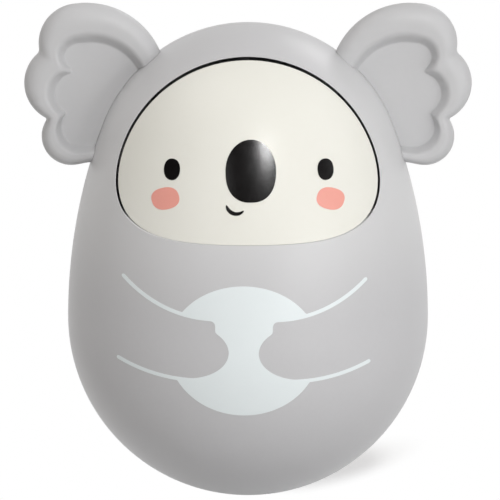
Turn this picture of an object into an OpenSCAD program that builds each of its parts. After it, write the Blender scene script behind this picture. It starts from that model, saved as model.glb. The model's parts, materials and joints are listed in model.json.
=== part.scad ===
// Roly poly toy: a weighted egg with a hooded animal face, lobed ears and a chime that
// a swinging ball strikes as the toy rocks. +Z is up, the face looks along -Y, and the
// origin is the centre of the flat spot that the toy rests on. Lengths are in millimetres.

/* [Body] */
// Largest diameter of the body and of its round base
body_d = 93.6; // [91:0.2:97]
// Height of the body without the ears
body_h = 123.3; // [120:0.1:128]
// Difference between the radius of the round base and that of the round crown
crown_step = 6.8; // [5:0.2:8]
// Radius of the flat spot under the base
foot_r = 5; // [3:0.5:7]
// Wall of the two body shells
wall = 2.4; // [2:0.1:2.8]
// Depth of the tongue along the seam
tongue_depth = 1.6; // [1:0.1:1.8]
// Gap between the two shells at the seam
seam_gap = 0.1; // [0.05:0.05:0.2]

/* [Face] */
// Depth of the face in front of its upright edge
face_depth = 19.6; // [18:0.2:21]
// Radius of the sweep from the upright edge down to the sill
face_sweep_r = 24.6; // [23:0.2:26]
// Drop of the sill below the crown's centre
face_drop = 9.9; // [8:0.1:11]
// Wall of the face
face_wall = 2; // [1.6:0.1:2.4]
// Depth of the face below the body's surface
face_inset = 0.4; // [0.2:0.1:0.6]
// Gap between the face and the hood's upright edge
face_gap = 1; // [0.6:0.1:1.2]
// Gap between the face and the sill
sill_gap = 0.2; // [0.15:0.05:0.4]
// Width of the skirt round the face's edge
skirt_w = 2.2; // [1.8:0.1:3]
// Reach of the hook behind the sill
hook_reach = 3.4; // [2.4:0.1:4]
// Thickness of the hook
hook_t = 1.6; // [1.2:0.1:2]

/* [Ears] */
// Height of the ear's root above the crown's centre
ear_rise = 22.7; // [21:0.1:24]
// Thickness of the ear's rolled rim
ear_t = 8; // [7.6:0.2:8.6]
// Radius of the ear's upper edge
ear_top_r = 20.9; // [20:0.1:22]
// Radius of the upper lobe
ear_tip_r = 10.4; // [9.6:0.1:11]
// Radius of the middle lobe
ear_mid_r = 10.3; // [9.6:0.1:11]
// Radius of the lower lobe
ear_low_r = 7.6; // [7:0.1:8.4]
// Depth of the recessed panel
ear_recess = 2.4; // [1.8:0.1:2.4]
// Thickness of the tab that the shells clamp
tab_t = 3; // [2.4:0.2:3]
// Height of that tab
tab_w = 16; // [12:0.5:18]

/* [Prints] */
// Thickness of the printed ink
ink_t = 0.15; // [0.1:0.05:0.3]
// Width of the nose
nose_w = 13.1; // [11:0.1:14]
// Height of the nose
nose_h = 15.8; // [14:0.1:17]
// Width of an eye
eye_w = 4.3; // [3.6:0.1:5]
// Height of an eye
eye_h = 5.4; // [4.6:0.1:6]
// Distance between the eyes
eye_span = 40; // [37:0.5:42]
// Length of a cheek
cheek_w = 7.4; // [6.4:0.1:8.2]
// Height of a cheek
cheek_h = 5.6; // [5:0.1:6.2]
// Distance between the cheeks
cheek_span = 42.8; // [40:0.2:44]
// Radius of the smile's outer edge
smile_r = 2.8; // [2.2:0.1:3.4]
// Width of the belly spot
belly_w = 39.2; // [36:0.2:42]
// Height of the belly spot
belly_h = 34.4; // [32:0.2:37]
// Length of a paw
paw_w = 22; // [20:0.5:24]
// Height of a paw
paw_h = 14; // [12:0.5:15]
// Width of the lines along the arms
line_w = 1.05; // [0.8:0.05:1.4]
// Radius of the line over an arm
over_line_r = 40.6; // [38:0.2:43]
// Radius of the line under an arm
under_line_r = 38; // [36:0.5:41]

/* [Ballast and chime] */
// Height of the ballast's flat top above its lowest point
ballast_h = 10.8; // [9:0.2:12]
// Height of the ring that holds the chime rods
ring_h = 4; // [3:0.2:5]
// Radius of the circle of chime rods
rods_r = 19; // [18.6:0.1:20]
// Diameter of a chime rod
rod_d = 3; // [2.4:0.1:3.2]
// Depth of a chime rod in the ring
rod_depth = 8; // [6:0.5:9]
// Length of the shortest chime rod
rod_short = 32; // [30:0.5:34]
// Difference in length from one chime rod to the next
rod_step = 1.2; // [0.8:0.1:1.5]

/* [Striker] */
// Diameter of the striker ball
ball_d = 16; // [14:0.2:16.4]
// Height of the ball's centre above the ring
ball_rise = 20; // [18:0.5:21]
// Diameter of the striker's stem
stem_d = 2.5; // [2:0.1:3]
// Height of the upper pivot above the widest part of the body
hanger_rise = 21.5; // [20:0.5:24]
// Distance from the upper pivot to the lower pivot
link_drop = 6.6; // [6.4:0.1:8]
// Width of the hanger link
link_w = 6; // [5:0.2:7]
// Diameter of the two pivot pins
pin_d = 2.4; // [2:0.1:2.6]

/* [Fasteners] */
// Diameter of a shell screw
shell_screw_d = 2.8; // [2.4:0.1:3]
// Length of a shell screw
shell_screw_l = 17; // [15:0.5:18]
// Diameter of a small screw
small_screw_d = 2; // [1.8:0.1:2.2]
// Length of a small screw
small_screw_l = 8.4; // [7.6:0.2:8.8]

/* [Hidden] */
$fn = 96;

shell_grey = "#c8c8ca";
face_cream = "#eceae0";
ink_black = "#1a1716";
ink_pink = "#f3a89d";
ink_white = "#e1e8e9";
steel_grey = "#a9acb0";
iron_grey = "#55565a";
nylon_white = "#dcdcd8";

// Room for cuts to run past a face, and the clearances between pieces
overrun = 1;
fit_gap = 0.1;
loose_gap = 0.2;
ballast_gap = 0.3;
press_gap = 0.025;
pivot_gap = 0.15;
ink_gap = 0.02;
mould_gap = 1;

// The egg: a ball for a base, a long arc for the flank and a ball for the crown, in line
// with each other where they meet
base_r = body_d / 2;
crown_r = base_r - crown_step;
equator_z = sqrt(base_r ^ 2 - foot_r ^ 2);
crown_z = body_h - crown_r;
rise = body_h - equator_z;
flank_r = (base_r ^ 2 + rise ^ 2 - 2 * rise * crown_r) / (2 * (base_r - crown_r));
flank_angle = atan2(crown_z - equator_z, flank_r - base_r);

function flank_top(grow) = equator_z + (flank_r + grow) * sin(flank_angle);

// Radius of the egg at a height
function egg_r(z, grow = 0) =
    z < equator_z ? sqrt((base_r + grow) ^ 2 - (z - equator_z) ^ 2)
    : z < flank_top(grow) ? base_r - flank_r + sqrt((flank_r + grow) ^ 2 - (z - equator_z) ^ 2)
    : sqrt((crown_r + grow) ^ 2 - (z - crown_z) ^ 2);

// Half of the egg's section, grown outwards or inwards
module egg_section(grow) {
    top = flank_top(grow);
    span = 2 * body_h;
    intersection() {
        translate([0, equator_z]) circle(base_r + grow);
        square([span, equator_z]);
    }
    intersection() {
        translate([base_r - flank_r, equator_z]) circle(flank_r + grow);
        translate([0, equator_z]) square([span, top - equator_z]);
    }
    intersection() {
        translate([0, crown_z]) circle(crown_r + grow);
        translate([0, top]) square([span, span]);
    }
}

// The surface's join line lies at the back, or in front for a piece that lies behind
module egg(grow = 0, join = 90) {
    rotate(join) rotate_extrude() egg_section(grow);
}

// The space in front of, or behind, an upright plane
module ahead_of(y) {
    translate([-body_h, y - 2 * body_h, -overrun]) cube([2 * body_h, 2 * body_h, 2 * body_h]);
}

module behind(y) {
    translate([-body_h, y, -overrun]) cube([2 * body_h, 2 * body_h, 2 * body_h]);
}

// A round bar along X or along Y
module bar_x(y, z, from, to, d) {
    translate([from, y, z]) rotate([0, 90, 0]) cylinder(h = to - from, d = d);
}

module bar_y(x, z, from, to, d) {
    translate([x, to, z]) rotate([90, 0, 0]) cylinder(h = to - from, d = d);
}

// A front outline as a prism from one depth to another
module prism_y(from, to) {
    translate([0, to, 0]) rotate([90, 0, 0]) linear_extrude(to - from) children();
}

module both_sides() {
    children();
    mirror([1, 0, 0]) children();
}

// The seam's tongue takes up the inner half of the wall, and posts and ribs root inside it
tongue_inset = wall / 2 + fit_gap;
root_share = 0.7;
root_inset = root_share * wall;

// The four posts along the seam: the upper two hold the ears as well
ear_z = crown_z + ear_rise;
ear_x = egg_r(ear_z);
post_d = 8.8;
post_inset = 8.4;
low_post_drop = 8;
low_post_z = equator_z - low_post_drop;
low_post_x = egg_r(low_post_z) - wall - post_d / 2 - mould_gap;
high_post_x = ear_x - post_inset;
post_places = [[high_post_x, ear_z], [low_post_x, low_post_z]];
front_post_ends = [-tab_t / 2 - fit_gap, tongue_depth];
rear_post_ends = [tab_t / 2 + fit_gap, tongue_depth + fit_gap];
screw_seat_y = 7;
shell_head_d = 5.4;
shell_head_h = 2;
head_room = 0.4;
pilot_spare = 2;

// The face: an upright cut and a sweep, seen from the side
face_front = crown_r - face_depth;
sill_z = crown_z - face_drop;
sweep_z = sill_z + face_sweep_r;
sweep_y = -face_front - face_sweep_r;

module face_side(grow) {
    translate([sweep_y - body_d, sweep_z]) square([body_d + face_sweep_r + grow, body_h]);
    intersection() {
        translate([sweep_y, sweep_z]) circle(face_sweep_r + grow);
        translate([sweep_y, sweep_z - body_h]) square([body_d, body_h]);
    }
    translate([sweep_y - body_d, sill_z - grow]) square([body_d, face_sweep_r + grow]);
}

module face_block(grow, back = 0, down = 0) {
    translate([0, back, -down]) rotate([90, 0, 90])
        linear_extrude(2 * body_d, center = true) face_side(grow);
}

// The lugs that the face is screwed to, at angles round the crown's centre
lug_angles = [14, 63];
lug_inset = 13;
lug_d = 9;
lug_neck = 7.4;
lug_t = 2.8;
lug_r = crown_r - lug_inset;
lug_front_y = -face_front + skirt_w;
lug_back_y = lug_front_y + lug_t;
boss_d = 6.4;
small_head_d = 3.8;
small_head_h = 1.4;

function lug_place(angle) = [lug_r * cos(angle), crown_z + lug_r * sin(angle)];

module lug(angle) {
    at = lug_place(angle);
    prism_y(lug_front_y, lug_back_y) translate(at) {
        circle(d = lug_d);
        rotate(angle) translate([0, -lug_neck / 2]) square([lug_inset, lug_neck]);
    }
}

// The ballast, and the shelf in each shell that keeps it down
ballast_inset = wall + ballast_gap;
ballast_low_z = equator_z - base_r + ballast_inset;
ballast_top_z = ballast_low_z + ballast_h;
ring_z = ballast_top_z + ring_h;
ring_wall = 2.6;
shelf_t = 2;
shelf_r = rods_r + rod_d / 2 + ring_wall + mould_gap;

module shelf() {
    difference() {
        translate([0, 0, ballast_top_z + loose_gap]) cylinder(h = shelf_t, r = body_d);
        cylinder(h = body_h, r = shelf_r);
    }
}

// The lobes of an ear, measured from the root on the crown's side
top_out_share = 0.44;
top_up_share = 0.107;
tip_angle = 80;
mid_out_share = 1.447;
mid_up_share = 0.208;
low_out_share = 1.72;
low_down_share = 1.555;
ear_top = [ear_x + top_out_share * ear_top_r, ear_z + top_up_share * ear_top_r];
ear_tip = ear_top + (ear_top_r - ear_tip_r) * [cos(tip_angle), sin(tip_angle)];
ear_mid = [ear_x + mid_out_share * ear_mid_r, ear_z + mid_up_share * ear_mid_r];
ear_low = [ear_x + low_out_share * ear_low_r, ear_z - low_down_share * ear_low_r];
ear_gap = 0.15;

// The recessed panel: a dish in each lobe, drawn in towards the root of the ear
dish_pull_shares = [0.09, 0.12, 0.23, 0.28];
dish_r_shares = [0.64, 0.42, 0.54, 0.66];
dish_slope_share = 0.6;
tab_l = post_inset + ear_top_r / 2;

module upright(at) {
    translate([at.x, 0, at.y]) rotate([90, 0, 0]) children();
}

// A disc with a rolled rim
module lobe(at, r) {
    upright(at) rotate_extrude() {
        translate([0, -ear_t / 2]) square([r - ear_t / 2, ear_t]);
        intersection() {
            translate([r - ear_t / 2, 0]) circle(d = ear_t);
            translate([r - ear_t / 2, -ear_t]) square([ear_t, 2 * ear_t]);
        }
    }
}

// A shallow dish in the front of a lobe
module dish(i, at, r) {
    root = [ear_x, ear_z];
    dish_r = dish_r_shares[i] * r;
    slope = dish_slope_share * ear_recess;
    upright(at + dish_pull_shares[i] * (root - at)) translate([0, 0, ear_t / 2 - ear_recess])
        cylinder(h = 2 * ear_recess, r1 = dish_r - slope, r2 = dish_r + slope);
}

module ear_head_side(x) {
    translate([x - body_h, -body_h, 0]) cube([body_h, 2 * body_h, 2 * body_h]);
}

module ear_tab(grow) {
    translate([high_post_x, ear_z]) {
        circle(d = tab_w + 2 * grow);
        translate([0, -tab_w / 2 - grow]) square([tab_l, tab_w + 2 * grow]);
    }
}

// The slot for the tab, which in the front shell runs through the whole tongue
module ear_slot(to) {
    prism_y(-tab_t / 2 - fit_gap, to) ear_tab(fit_gap);
}

module ear() {
    difference() {
        union() {
            difference() {
                union() {
                    intersection() {
                        lobe(ear_top, ear_top_r);
                        ear_head_side(ear_tip.x);
                    }
                    lobe(ear_tip, ear_tip_r);
                    lobe(ear_mid, ear_mid_r);
                    lobe(ear_low, ear_low_r);
                }
                egg(ear_gap);
                intersection() {
                    dish(0, ear_top, ear_top_r);
                    ear_head_side(ear_tip.x);
                }
                dish(1, ear_tip, ear_tip_r);
                dish(2, ear_mid, ear_mid_r);
                dish(3, ear_low, ear_low_r);
            }
            prism_y(-tab_t / 2, tab_t / 2) ear_tab(0);
        }
        bar_y(high_post_x, ear_z, -body_d, body_d, shell_screw_d + 2 * loose_gap);
    }
}

module left_ear() {
    color(shell_grey) mirror([1, 0, 0]) ear();
}

module right_ear() {
    color(shell_grey) ear();
}

module front_shell() {
    pilot_l = shell_screw_l - screw_seat_y + pilot_spare;
    color(shell_grey) difference() {
        union() {
            difference() {
                intersection() {
                    egg();
                    ahead_of(0);
                }
                egg(-wall);
            }
            intersection() {
                difference() {
                    egg(-tongue_inset);
                    egg(fit_gap - wall);
                }
                ahead_of(tongue_depth);
                behind(-overrun);
            }
            intersection() {
                egg(-root_inset);
                union() {
                    both_sides() for (i = [0, 1]) {
                        bar_y(post_places[i].x, post_places[i].y, -body_d, front_post_ends[i], post_d);
                    }
                    both_sides() for (angle = lug_angles) lug(angle);
                    intersection() {
                        shelf();
                        ahead_of(tongue_depth);
                    }
                }
            }
        }
        face_block(0, face_gap, sill_gap);
        both_sides() {
            ear_slot(tongue_depth + overrun);
            for (at = post_places) {
                bar_y(at.x, at.y, -pilot_l, body_d, shell_screw_d + 2 * press_gap);
            }
            for (angle = lug_angles) {
                at = lug_place(angle);
                bar_y(at.x, at.y, -body_d, 0, small_screw_d + 2 * loose_gap);
            }
        }
    }
}

// The striker's bracket, its posts on the rear shell and its pivots
hanger_z = equator_z + hanger_rise;
striker_z = hanger_z - link_drop;
ball_z = ring_z + ball_rise;
side_t = 2.4;
pivot_eye_d = 6;
beam_h = 6;
beam_gap = 1.2;
plate_t = 2.4;
plate_w = 26;
plate_h = 12;
plate_post_d = 6;
plate_post_l = 6.5;
plate_post_x = 9;
side_x = link_w / 2 + loose_gap;
beam_w = 2 * (side_x + side_t);
beam_z = hanger_z + pivot_eye_d / 2 + beam_gap;
plate_z = beam_z + beam_h / 2;
plate_back_y = egg_r(plate_z) - wall - plate_post_l;
plate_front_y = plate_back_y - plate_t;

module rear_shell() {
    inner_y = tongue_depth + fit_gap;
    color(shell_grey) difference() {
        union() {
            difference() {
                intersection() {
                    egg(0, -90);
                    behind(seam_gap);
                }
                egg(-wall, -90);
                intersection() {
                    egg(fit_gap - tongue_inset, -90);
                    ahead_of(inner_y);
                }
            }
            intersection() {
                egg(-root_inset, -90);
                union() {
                    both_sides() {
                        for (i = [0, 1]) {
                            bar_y(post_places[i].x, post_places[i].y, rear_post_ends[i], body_d, post_d);
                        }
                        bar_y(plate_post_x, plate_z, plate_back_y, body_d, plate_post_d);
                    }
                    intersection() {
                        shelf();
                        behind(inner_y);
                    }
                }
            }
        }
        both_sides() {
            ear_slot(tab_t / 2 + fit_gap);
            for (at = post_places) {
                bar_y(at.x, at.y, 0, body_d, shell_screw_d + 2 * loose_gap);
                bar_y(at.x, at.y, screw_seat_y, body_d, shell_head_d + 2 * head_room);
            }
            bar_y(plate_post_x, plate_z, plate_back_y - overrun,
                plate_front_y + small_screw_l + loose_gap, small_screw_d + 2 * press_gap);
        }
    }
}

module face_dome() {
    hook_inset = wall + loose_gap;
    pilot_y = lug_back_y - small_screw_l - loose_gap;
    color(face_cream) difference() {
        union() {
            difference() {
                union() {
                    intersection() {
                        egg(-face_inset);
                        face_block(0);
                    }
                    intersection() {
                        egg(-hook_inset);
                        face_block(hook_reach);
                        cylinder(h = sill_z + face_sweep_r / 2, r = body_d);
                    }
                }
                egg(-hook_inset - hook_t);
                intersection() {
                    egg(-face_inset - face_wall);
                    face_block(-skirt_w);
                }
            }
            intersection() {
                egg(-face_inset - face_wall / 2);
                both_sides() for (angle = lug_angles) {
                    at = lug_place(angle);
                    bar_y(at.x, at.y, -body_d, lug_front_y - loose_gap, boss_d);
                }
            }
        }
        both_sides() for (angle = lug_angles) {
            at = lug_place(angle);
            bar_y(at.x, at.y, pilot_y, 0, small_screw_d + 2 * press_gap);
        }
    }
}

// The prints: thin layers of ink over the face and over the body
oval_sides = 48;
nose_x = 0.6;
nose_rise = 8;
nose_taper_share = 0.07;
eye_rise = 7.8;
cheek_rise = 0.4;
cheek_tilt = 18;
smile_x = -3.2;
smile_drop = 0.4;
smile_turn = 18;
smile_shift_share = 0.34;
belly_x = -1;
belly_drop = 1.4;
paw_x = 15;
paw_drop = 0.4;
thumb_x = 7.5;
over_line_x = 3;
over_line_low = 6.7;
over_line_up = over_line_r + over_line_low;
over_line_angles = [-133, -97];
under_line_x = 15.4;
under_line_low = 7.8;
under_line_up = under_line_r - under_line_low;
under_line_angles = [-117, -88];

module ink(depth) {
    intersection() {
        difference() {
            egg(ink_gap + ink_t - depth);
            egg(ink_gap - depth);
        }
        prism_y(-body_d, 0) children();
    }
}

module oval(w, h, taper = 0) {
    polygon([for (i = [0 : oval_sides - 1])
        let (a = 360 * i / oval_sides)
        [w / 2 * cos(a) * (1 - taper * sin(a)), h / 2 * sin(a)]]);
}

// A line along an arc, from one angle to another, with a round far end
module arc_line(r, angles) {
    reach = 2 * r;
    intersection() {
        difference() {
            circle(r + line_w / 2);
            circle(r - line_w / 2);
        }
        polygon([
            [0, 0],
            reach * [cos(angles[0]), sin(angles[0])],
            reach * [cos(angles[1]), sin(angles[1])]
        ]);
    }
    translate(r * [cos(angles[0]), sin(angles[0])]) circle(d = line_w);
}

module arm_lines() {
    translate([-over_line_x, over_line_up]) arc_line(over_line_r, over_line_angles);
    translate([-under_line_x, under_line_up]) arc_line(under_line_r, under_line_angles);
}

// What an arm and its paw leave out of the belly spot
module arm_gap() {
    translate([-paw_x, -paw_drop]) oval(paw_w, paw_h);
    difference() {
        intersection() {
            translate([-belly_w, -paw_h]) square([belly_w - thumb_x, 2 * paw_h]);
            translate([-under_line_x, under_line_up]) circle(under_line_r - line_w / 2);
        }
        translate([-over_line_x, over_line_up]) circle(over_line_r + line_w / 2);
    }
}

module nose_print() {
    color(ink_black) ink(face_inset)
        translate([nose_x, crown_z + nose_rise]) oval(nose_w, nose_h, nose_taper_share);
}

module eye_prints() {
    color(ink_black) ink(face_inset) both_sides()
        translate([eye_span / 2, crown_z + eye_rise]) oval(eye_w, eye_h);
}

module cheek_prints() {
    color(ink_pink) ink(face_inset) both_sides()
        translate([cheek_span / 2, crown_z + cheek_rise]) rotate(-cheek_tilt) oval(cheek_w, cheek_h);
}

module smile_print() {
    color(ink_black) ink(face_inset) translate([smile_x, crown_z - smile_drop]) rotate(-smile_turn)
        difference() {
            circle(smile_r);
            translate([0, smile_shift_share * smile_r]) circle(smile_r);
        }
}

module belly_print() {
    color(ink_white) ink(0) translate([belly_x, equator_z - belly_drop]) {
        difference() {
            oval(belly_w, belly_h);
            both_sides() arm_gap();
        }
        both_sides() arm_lines();
    }
}

// A pan-head screw along Y: its head lies at the seat and its shank runs towards -Y
module screw(at, seat_y, d, l, head_d, head_h) {
    bar_y(at.x, at.y, seat_y - l, seat_y + head_h / 2, d);
    bar_y(at.x, at.y, seat_y, seat_y + head_h, head_d);
}

module shell_screws() {
    color(steel_grey) both_sides() for (at = post_places) {
        screw(at, screw_seat_y, shell_screw_d, shell_screw_l, shell_head_d, shell_head_h);
    }
}

module face_screws() {
    color(steel_grey) both_sides() for (angle = lug_angles) {
        screw(lug_place(angle), lug_back_y, small_screw_d, small_screw_l, small_head_d, small_head_h);
    }
}

module bracket_screws() {
    color(steel_grey) both_sides() mirror([0, 1, 0])
        screw([plate_post_x, plate_z], -plate_front_y, small_screw_d, small_screw_l,
            small_head_d, small_head_h);
}

rod_count = 8;
rod_start = 22.5;

function rod_angle(i) = rod_start + 360 * i / rod_count;
function rod_place(i) = rods_r * [cos(rod_angle(i)), sin(rod_angle(i))];

module ballast_weight() {
    color(iron_grey) difference() {
        union() {
            intersection() {
                egg(-ballast_inset);
                cylinder(h = ballast_top_z, r = body_d);
            }
            translate([0, 0, ballast_top_z - overrun]) difference() {
                cylinder(h = ring_h + overrun, r = rods_r + rod_d / 2 + ring_wall);
                cylinder(h = body_h, r = rods_r - rod_d / 2 - ring_wall);
            }
        }
        for (i = [0 : rod_count - 1]) {
            translate([rod_place(i).x, rod_place(i).y, ring_z - rod_depth])
                cylinder(h = body_h, d = rod_d + 2 * press_gap);
        }
    }
}

module chime_rod(i) {
    color(steel_grey) translate([rod_place(i).x, rod_place(i).y, ring_z - rod_depth + press_gap])
        cylinder(h = rod_short + rod_step * i, d = rod_d);
}

module striker_bracket() {
    color(nylon_white) difference() {
        union() {
            translate([-beam_w / 2, -pivot_eye_d / 2, beam_z])
                cube([beam_w, plate_front_y + pivot_eye_d / 2 + plate_t / 2, beam_h]);
            translate([-plate_w / 2, plate_front_y, plate_z - plate_h / 2])
                cube([plate_w, plate_t, plate_h]);
            both_sides() {
                bar_x(0, hanger_z, side_x, side_x + side_t, pivot_eye_d);
                translate([side_x, -pivot_eye_d / 2, hanger_z])
                    cube([side_t, pivot_eye_d, beam_z - hanger_z + overrun]);
            }
        }
        bar_x(0, hanger_z, -beam_w, beam_w, pin_d + 2 * press_gap);
        both_sides() bar_y(plate_post_x, plate_z, 0, body_d, small_screw_d + 2 * loose_gap);
    }
}

module hanger_pin() {
    color(steel_grey) bar_x(0, hanger_z, -beam_w / 2, beam_w / 2, pin_d);
}

// The link turns on the upper pin and carries the lower one across it
stem_eye_t = 3.2;
stem_eye_d = 5;
fork_t = 1.8;
fork_w = stem_eye_t + 2 * (loose_gap + fork_t);

module hanger_link() {
    slot_w = stem_eye_t + 2 * loose_gap;
    slot_top = stem_eye_d / 2 + loose_gap;
    color(nylon_white) difference() {
        union() {
            bar_x(0, hanger_z, -link_w / 2, link_w / 2, pivot_eye_d);
            translate([-link_w / 2, -fork_w / 2, striker_z]) cube([link_w, fork_w, link_drop]);
            bar_y(0, striker_z, -fork_w / 2, fork_w / 2, link_w);
        }
        translate([-body_d / 2, -slot_w / 2, striker_z - body_d + slot_top]) cube([body_d, slot_w, body_d]);
        bar_x(0, hanger_z, -body_d, body_d, pin_d + 2 * pivot_gap);
        bar_y(0, striker_z, -body_d, body_d, pin_d + 2 * press_gap);
    }
}

module striker_pin() {
    color(steel_grey) bar_y(0, striker_z, -fork_w / 2, fork_w / 2, pin_d);
}

ball_bore_share = 0.4;

module striker_stem() {
    foot_z = ball_z + ball_d / 2 - ball_bore_share * ball_d;
    color(steel_grey) difference() {
        union() {
            bar_y(0, striker_z, -stem_eye_t / 2, stem_eye_t / 2, stem_eye_d);
            translate([0, 0, foot_z + press_gap]) cylinder(h = striker_z - foot_z - press_gap, d = stem_d);
        }
        bar_y(0, striker_z, -body_d, body_d, pin_d + 2 * pivot_gap);
    }
}

module striker_ball() {
    color(nylon_white) difference() {
        translate([0, 0, ball_z]) sphere(d = ball_d);
        translate([0, 0, ball_z + ball_d / 2 - ball_bore_share * ball_d])
            cylinder(h = ball_d, d = stem_d + 2 * press_gap);
    }
}

front_shell();
rear_shell();
left_ear();
right_ear();
face_dome();
nose_print();
eye_prints();
cheek_prints();
smile_print();
belly_print();
face_screws();
shell_screws();
ballast_weight();
chime_rod(0);  // chime_rod_1
chime_rod(1);  // chime_rod_2
chime_rod(2);  // chime_rod_3
chime_rod(3);  // chime_rod_4
chime_rod(4);  // chime_rod_5
chime_rod(5);  // chime_rod_6
chime_rod(6);  // chime_rod_7
chime_rod(7);  // chime_rod_8
striker_bracket();
bracket_screws();
hanger_pin();
hanger_link();
striker_pin();
striker_stem();
striker_ball();
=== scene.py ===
import json
import math

import bmesh
import bpy
import numpy as np
from mathutils import Matrix, Vector


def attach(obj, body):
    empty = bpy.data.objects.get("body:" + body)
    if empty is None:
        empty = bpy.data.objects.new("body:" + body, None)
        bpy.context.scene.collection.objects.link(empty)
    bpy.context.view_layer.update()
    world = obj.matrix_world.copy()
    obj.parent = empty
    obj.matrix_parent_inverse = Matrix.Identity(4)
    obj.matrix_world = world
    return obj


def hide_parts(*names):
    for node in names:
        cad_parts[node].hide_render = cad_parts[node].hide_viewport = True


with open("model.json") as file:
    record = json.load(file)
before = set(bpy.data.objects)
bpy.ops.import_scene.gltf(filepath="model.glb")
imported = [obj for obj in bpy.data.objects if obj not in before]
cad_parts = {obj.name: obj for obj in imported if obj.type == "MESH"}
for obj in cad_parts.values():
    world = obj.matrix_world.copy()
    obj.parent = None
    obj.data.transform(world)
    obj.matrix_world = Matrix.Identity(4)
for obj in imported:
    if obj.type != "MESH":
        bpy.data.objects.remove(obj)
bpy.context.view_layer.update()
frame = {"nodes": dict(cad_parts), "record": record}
mm = 0.001  # sizes below are in millimetres, Blender's are in metres
scene = bpy.context.scene
scene.view_settings.view_transform = "Standard"
print("frame: {} nodes".format(len(frame["nodes"])))


# node trees: sums are written as Python, every other node comes from node()
class Wire:
    def __init__(self, tree, socket=None):
        self.tree = tree
        self.socket = socket

    def node(self, kind, settings=None, inputs=None, out=0):
        made = self.tree.nodes.new(kind)
        for key, value in (settings or {}).items():
            if key == "stops":
                self.setStops(made.color_ramp, value)
            else:
                setattr(made, key, value)
        for key, value in (inputs or {}).items():
            for one in value if isinstance(value, list) else [value]:
                if isinstance(one, Wire):
                    self.tree.links.new(one.socket, made.inputs[key])
                else:
                    made.inputs[key].default_value = one
        return Wire(self.tree, made.outputs[out] if made.outputs else None)

    def setStops(self, ramp, stops):
        while len(ramp.elements) < len(stops):
            ramp.elements.new(0.5)
        for element, (place, colour) in zip(ramp.elements, stops):
            element.position = place
            element.color = (*colour, 1)

    def sum(self, operation, first, second):
        return self.node("ShaderNodeMath", {"operation": operation}, {0: first, 1: second})

    def __add__(self, other):
        return self.sum("ADD", self, other)

    def __radd__(self, other):
        return self.sum("ADD", other, self)

    def __sub__(self, other):
        return self.sum("SUBTRACT", self, other)

    def __rsub__(self, other):
        return self.sum("SUBTRACT", other, self)

    def __mul__(self, other):
        return self.sum("MULTIPLY", self, other)

    def __rmul__(self, other):
        return self.sum("MULTIPLY", other, self)

    def __truediv__(self, other):
        return self.sum("DIVIDE", self, other)


# the egg: a ball for the base, a long arc for the flank and a ball for the crown
egg = {"baseR": 46.8, "footR": 5.0, "crownR": 40.0, "height": 123.3, "wall": 2.4, "seamGap": 0.1}
equatorZ = math.sqrt(egg["baseR"] ** 2 - egg["footR"] ** 2)
crownZ = egg["height"] - egg["crownR"]
eggRise = egg["height"] - equatorZ
flankSquare = egg["baseR"] ** 2 + eggRise ** 2 - 2 * eggRise * egg["crownR"]
flankR = flankSquare / (2 * (egg["baseR"] - egg["crownR"]))
flankMid = egg["baseR"] - flankR
flankTilt = math.atan2(crownZ - equatorZ, -flankMid)
quarter = math.pi / 2
halvings = 46  # steps of a search for an edge


def eggDistance(p, grow=0.0):  # below zero inside the egg grown by that much
    r = np.hypot(p[..., 0], p[..., 1])
    z = p[..., 2]
    base = np.hypot(r, z - equatorZ) - egg["baseR"]
    flank = np.hypot(r - flankMid, z - equatorZ) - flankR
    crown = np.hypot(r, z - crownZ) - egg["crownR"]
    high = math.cos(flankTilt) * (z - crownZ) > math.sin(flankTilt) * r
    away = np.where(z < equatorZ, base, np.where(high, crown, flank)) - grow
    return np.maximum(away, -z) if grow >= 0 else away


def bisect(inside, low, high):  # inside(t) is true below the edge
    low = np.array(low, float)
    high = np.array(high, float)
    for _ in range(halvings):
        middle = (low + high) / 2
        keep = inside(middle)
        low = np.where(keep, middle, low)
        high = np.where(keep, high, middle)
    return (low + high) / 2


def eggHit(centre, way, grow=0.0):  # where rays from the centre leave the egg
    span = 2 * egg["height"]
    zero = np.zeros(way.shape[:-1])
    far = bisect(lambda t: eggDistance(centre + t[..., None] * way, grow) < 0, zero, zero + span)
    return centre + far[..., None] * way


def eggRadius(z, grow=0.0):
    base = np.sqrt(np.maximum((egg["baseR"] + grow) ** 2 - (z - equatorZ) ** 2, 0))
    flank = flankMid + np.sqrt((flankR + grow) ** 2 - (z - equatorZ) ** 2)
    crown = np.sqrt(np.maximum((egg["crownR"] + grow) ** 2 - (z - crownZ) ** 2, 0))
    joint = equatorZ + (flankR + grow) * math.sin(flankTilt)
    return np.where(z < equatorZ, base, np.where(z < joint, flank, crown))


# the face's edge seen from the side: upright, then a sweep forward to the sill
face = {
    "front": 20.4, "sweepR": 24.6, "drop": 10.65, "middleZ": 88.0,
    "inset": 0.4, "wall": 2.0, "skirt": 2.2, "skirtDeep": 4.2, "edgeR": 0.14,
    "gap": 0.7, "gapLeft": 0.6, "gapRight": 0.74, "gapLow": 70.0, "gapHigh": 87.0, "sillGap": 0.02,
    "deepLow": 74.0, "deepHigh": 82.0,
}
sweepY = -face["front"] - face["sweepR"]
sweepZ = crownZ - face["drop"] + face["sweepR"]


def smoothStep(low, high, value):
    t = np.clip((value - low) / (high - low), 0, 1)
    return t * t * (3 - 2 * t)


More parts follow.
